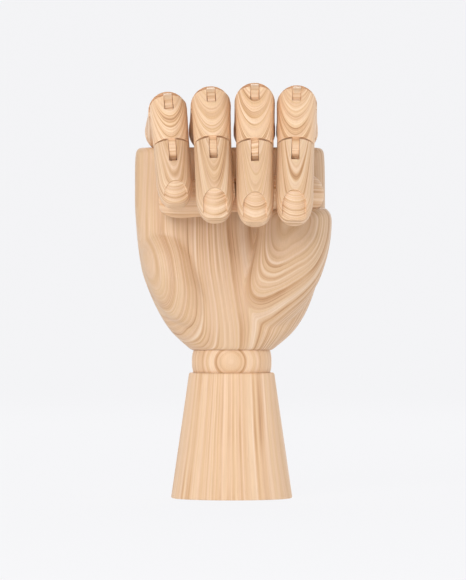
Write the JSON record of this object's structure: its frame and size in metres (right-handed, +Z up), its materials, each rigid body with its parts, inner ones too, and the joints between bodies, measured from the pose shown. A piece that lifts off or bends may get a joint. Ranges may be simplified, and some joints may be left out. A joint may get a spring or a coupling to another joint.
{
  "type": "jointed artist's hand",
  "caption": "Wooden artist's mannequin hand on a round foot: a right hand with jointed fingers and thumb, closed into a fist on a ball wrist.",
  "frame": {"origin": "on the floor at the centre of the foot's flat underside", "axes": "+Z up along the foot's axis, the palm and the closed fingers face -Y, the thumb side is +X"},
  "size_m": [0.096, 0.1056, 0.2022],
  "materials": {
    "light_wood": "satin",
    "steel": "satin"
  },
  "bodies": {
    "foot": {"base": "light_wood", "base_plug": "light_wood"},
    "wrist_ball": {"wrist_ball": "light_wood", "wrist_pin": "steel", "base_rod": "steel", "base_nut": "steel", "base_spring": "steel"},
    "wrist_rod": {"wrist_rod": "steel", "wrist_washer": "steel", "wrist_spring": "steel", "wrist_nut": "steel"},
    "palm": {"palm": "light_wood"},
    "pinky_rod": {"pinky_eye": "steel", "pinky_spring": "steel"},
    "pinky_proximal": {"pinky_proximal": "light_wood", "pinky_knuckle_pin": "steel"},
    "pinky_middle": {"pinky_middle": "light_wood", "pinky_pip_pin": "steel"},
    "pinky_distal": {"pinky_distal": "light_wood", "pinky_dip_pin": "steel"},
    "ring_rod": {"ring_eye": "steel", "ring_spring": "steel"},
    "ring_proximal": {"ring_proximal": "light_wood", "ring_knuckle_pin": "steel"},
    "ring_middle": {"ring_middle": "light_wood", "ring_pip_pin": "steel"},
    "ring_distal": {"ring_distal": "light_wood", "ring_dip_pin": "steel"},
    "middle_rod": {"middle_eye": "steel", "middle_spring": "steel"},
    "middle_proximal": {"middle_proximal": "light_wood", "middle_knuckle_pin": "steel"},
    "middle_middle": {"middle_middle": "light_wood", "middle_pip_pin": "steel"},
    "middle_distal": {"middle_distal": "light_wood", "middle_dip_pin": "steel"},
    "index_rod": {"index_eye": "steel", "index_spring": "steel"},
    "index_proximal": {"index_proximal": "light_wood", "index_knuckle_pin": "steel"},
    "index_middle": {"index_middle": "light_wood", "index_pip_pin": "steel"},
    "index_distal": {"index_distal": "light_wood", "index_dip_pin": "steel"},
    "thumb_rod": {"thumb_eye": "steel", "thumb_spring": "steel"},
    "thumb_proximal": {"thumb_proximal": "light_wood", "thumb_knuckle_pin": "steel"},
    "thumb_distal": {"thumb_distal": "light_wood", "thumb_tip_pin": "steel"}
  },
  "joints": [
    {"name": "wrist_turn", "type": "hinge", "parent": "foot", "child": "wrist_ball", "pos_m": [0, 0, 0.0668], "axis": [0, 0, 1], "range_deg": [-90, 90]},
    {"name": "wrist_nod", "type": "hinge", "parent": "wrist_ball", "child": "wrist_rod", "pos_m": [0, 0, 0.0668], "axis": [1, 0, 0], "range_deg": [-20, 20]},
    {"name": "wrist_sway", "type": "hinge", "parent": "wrist_rod", "child": "palm", "pos_m": [0, 0, 0.0668], "axis": [0, 1, 0], "range_deg": [-15, 15]},
    {"name": "pinky_swivel", "type": "hinge", "parent": "palm", "child": "pinky_rod", "pos_m": [-0.0322, 0, 0.1795], "axis": [-0.0627, -0.0037, 0.998], "range_deg": [-15, 1.5]},
    {"name": "pinky_knuckle", "type": "hinge", "parent": "pinky_rod", "child": "pinky_proximal", "pos_m": [-0.0322, 0, 0.1795], "axis": [0.9963, 0.0592, 0.0628], "range_deg": [-74, 4]},
    {"name": "pinky_pip", "type": "hinge", "parent": "pinky_proximal", "child": "pinky_middle", "pos_m": [-0.03068, -0.03656, 0.18976], "axis": [0.9963, 0.0592, 0.0628], "range_deg": [-79, 3]},
    {"name": "pinky_dip", "type": "hinge", "parent": "pinky_middle", "child": "pinky_distal", "pos_m": [-0.02859, -0.04754, 0.16707], "axis": [0.9963, 0.0592, 0.0628], "range_deg": [-4.5, 4]},
    {"name": "ring_swivel", "type": "hinge", "parent": "palm", "child": "ring_rod", "pos_m": [-0.0108, 0, 0.1795], "axis": [-0.0262, -0.0007, 0.9997], "range_deg": [-0.4, 0.4]},
    {"name": "ring_knuckle", "type": "hinge", "parent": "ring_rod", "child": "ring_proximal", "pos_m": [-0.0108, 0, 0.1795], "axis": [0.9993, 0.0279, 0.0262], "range_deg": [-72.5, 6]},
    {"name": "ring_pip", "type": "hinge", "parent": "ring_proximal", "child": "ring_middle", "pos_m": [-0.00998, -0.04111, 0.19207], "axis": [0.9993, 0.0279, 0.0262], "range_deg": [-75.5, 6]},
    {"name": "ring_dip", "type": "hinge", "parent": "ring_middle", "child": "ring_distal", "pos_m": [-0.00892, -0.05587, 0.16748], "axis": [0.9993, 0.0279, 0.0262], "range_deg": [-6.5, 8]},
    {"name": "middle_swivel", "type": "hinge", "parent": "palm", "child": "middle_rod", "pos_m": [0.0111, 0, 0.1795], "axis": [0, 0, 1], "range_deg": [-0.4, 0.4]},
    {"name": "middle_knuckle", "type": "hinge", "parent": "middle_rod", "child": "middle_proximal", "pos_m": [0.0111, 0, 0.1795], "axis": [1, 0, 0], "range_deg": [-72, 6]},
    {"name": "middle_pip", "type": "hinge", "parent": "middle_proximal", "child": "middle_middle", "pos_m": [0.0111, -0.04482, 0.19363], "axis": [1, 0, 0], "range_deg": [-80, 6]},
    {"name": "middle_dip", "type": "hinge", "parent": "middle_middle", "child": "middle_distal", "pos_m": [0.0111, -0.05863, 0.16655], "axis": [1, 0, 0], "range_deg": [-5.5, 8]},
    {"name": "index_swivel", "type": "hinge", "parent": "palm", "child": "index_rod", "pos_m": [0.032, 0, 0.1795], "axis": [0.0192, -0.0004, 0.9998], "range_deg": [-0.5, 15]},
    {"name": "index_knuckle", "type": "hinge", "parent": "index_rod", "child": "index_proximal", "pos_m": [0.032, 0, 0.1795], "axis": [0.9996, -0.0209, -0.0192], "range_deg": [-72.5, 6]},
    {"name": "index_pip", "type": "hinge", "parent": "index_proximal", "child": "index_middle", "pos_m": [0.03137, -0.04203, 0.19251], "axis": [0.9996, -0.0209, -0.0192], "range_deg": [-75.5, 6]},
    {"name": "index_dip", "type": "hinge", "parent": "index_middle", "child": "index_distal", "pos_m": [0.03055, -0.05747, 0.1668], "axis": [0.9996, -0.0209, -0.0192], "range_deg": [-6.5, 8]},
    {"name": "thumb_swivel", "type": "hinge", "parent": "palm", "child": "thumb_rod", "pos_m": [0.0346, -0.027, 0.1482], "axis": [0, 0, 1], "range_deg": [-0.2, 2]},
    {"name": "thumb_knuckle", "type": "hinge", "parent": "thumb_rod", "child": "thumb_proximal", "pos_m": [0.0346, -0.027, 0.1482], "axis": [0, -1, 0], "range_deg": [-15, 1]},
    {"name": "thumb_tip", "type": "hinge", "parent": "thumb_proximal", "child": "thumb_distal", "pos_m": [-0.00239, -0.027, 0.14755], "axis": [0, -1, 0], "range_deg": [-3.5, 10]}
  ]
}
